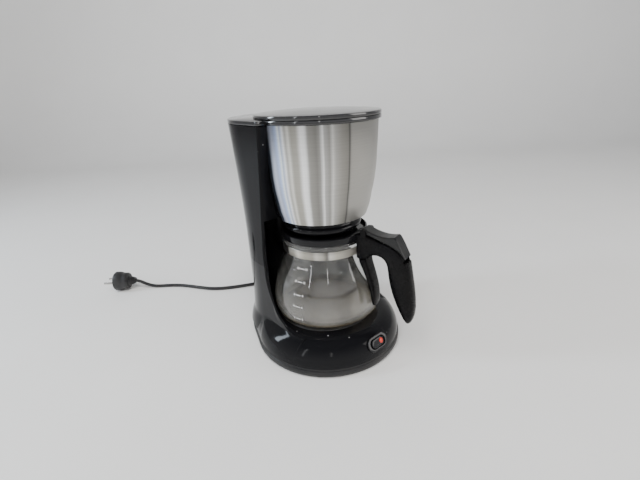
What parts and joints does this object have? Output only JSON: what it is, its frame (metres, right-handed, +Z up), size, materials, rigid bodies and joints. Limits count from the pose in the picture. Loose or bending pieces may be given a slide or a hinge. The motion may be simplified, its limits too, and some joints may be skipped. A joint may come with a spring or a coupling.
{
  "type": "drip coffee maker",
  "caption": "Drip coffee maker with a round brushed-steel filter housing on a glossy black column, a round lid, a hot plate, a glass jug with a black handle, and a mains cord.",
  "frame": {"origin": "on the table, on the axis of the hot plate and the filter housing", "axes": "+Z up; -Y towards the user, where the switch is and the jug comes out; +X to the right as seen along +Y"},
  "size_m": [0.3445, 0.5454, 0.329],
  "materials": {
    "foot_rubber": "matt dark rubber",
    "inner_plastic": "unseen black moulding",
    "screw_steel": "zinc-plated steel",
    "matt_black": "fine satin grain",
    "gloss_black": "high gloss black",
    "gasket_rubber": "silicone",
    "plate_coating": "non-stick coating",
    "heater_aluminium": "extruded",
    "clip_steel": "pressed strip",
    "thermostat_brown": "phenolic",
    "white_ceramic": "pale moulding",
    "hose_silicone": "milky silicone",
    "wire_brown": "heat-proof sleeve",
    "tank_plastic": "smoked polypropylene",
    "brushed_band": "vertical brushing",
    "cord_rubber": "black sheath",
    "pin_metal": "nickel-plated brass",
    "spring_wire": "spring steel",
    "lamp_red": "translucent red",
    "jug_glass": "clear"
  },
  "bodies": {
    "machine": {"foot_1": "foot_rubber", "foot_2": "foot_rubber", "foot_3": "foot_rubber", "foot_4": "foot_rubber", "bottom_plate": "inner_plastic", "base_screws": "screw_steel", "base_skirt": "matt_black", "base_shell": "gloss_black", "plate_gasket": "gasket_rubber", "hot_plate": "plate_coating", "heat_spreader": "heater_aluminium", "heater_tube": "heater_aluminium", "spreader_clip": "clip_steel", "thermostat": "thermostat_brown", "thermal_fuses": "white_ceramic", "check_valve": "white_ceramic", "inlet_hose": "hose_silicone", "riser_tube": "hose_silicone", "switch_bezel": "matt_black", "switch_box": "inner_plastic", "lead_wires": "wire_brown", "column_shell": "gloss_black", "water_tank": "tank_plastic", "filter_housing": "gloss_black", "steel_band": "brushed_band", "hinge_pin": "screw_steel", "cord_grip": "cord_rubber", "cord_lead": "cord_rubber", "cord_coil": "cord_rubber", "cord_run": "cord_rubber", "plug_body": "cord_rubber", "plug_pins": "pin_metal"},
    "lid": {"lid_deck": "gloss_black", "lid_disc": "gloss_black", "lid_channel": "inner_plastic", "shower_plate": "inner_plastic"},
    "basket": {"filter_basket": "matt_black", "basket_tabs": "matt_black", "valve_spring": "spring_wire"},
    "valve": {"valve_plunger": "white_ceramic"},
    "rocker": {"switch_rocker": "gloss_black", "switch_lamp": "lamp_red"},
    "jug": {"jug_glass": "jug_glass", "jug_band": "brushed_band", "jug_lid": "gloss_black", "jug_handle": "matt_black", "jug_guard": "matt_black", "guard_screw": "screw_steel", "lever_pin": "screw_steel", "lever_spring": "spring_wire"},
    "lever": {"thumb_lever": "matt_black"}
  },
  "joints": [
    {"name": "lid_hinge", "type": "hinge", "parent": "machine", "child": "lid", "pos_m": [0, 0.1336, 0.316], "axis": [-1, 0, 0], "range_deg": [0, 85]},
    {"name": "basket_lift", "type": "slide", "parent": "machine", "child": "basket", "axis": [0, 0, 1], "range_m": [0, 0.003]},
    {"name": "jug_slide", "type": "slide", "parent": "machine", "child": "jug", "axis": [0, -1, 0], "range_m": [0, 0.17]},
    {"name": "valve_slide", "type": "slide", "parent": "basket", "child": "valve", "axis": [0, 0, -1], "range_m": [0, 0.004], "deforming": ["valve_spring"]},
    {"name": "rocker_hinge", "type": "hinge", "parent": "machine", "child": "rocker", "pos_m": [0, -0.09943, 0.02932], "axis": [0, -0.515, -0.8572], "range_deg": [0, 12]},
    {"name": "lever_hinge", "type": "hinge", "parent": "jug", "child": "lever", "pos_m": [0.01845, -0.06748, 0.1796], "axis": [0.9703, 0.2419, 0], "range_deg": [0, 5], "stiffness_Nm_per_rad": 0.25, "springref_deg": -5.73, "deforming": ["lever_spring"]}
  ],
  "couplings": [
    {"joint": "valve_slide", "follows": "jug_slide", "ratio": 0.023529}
  ]
}
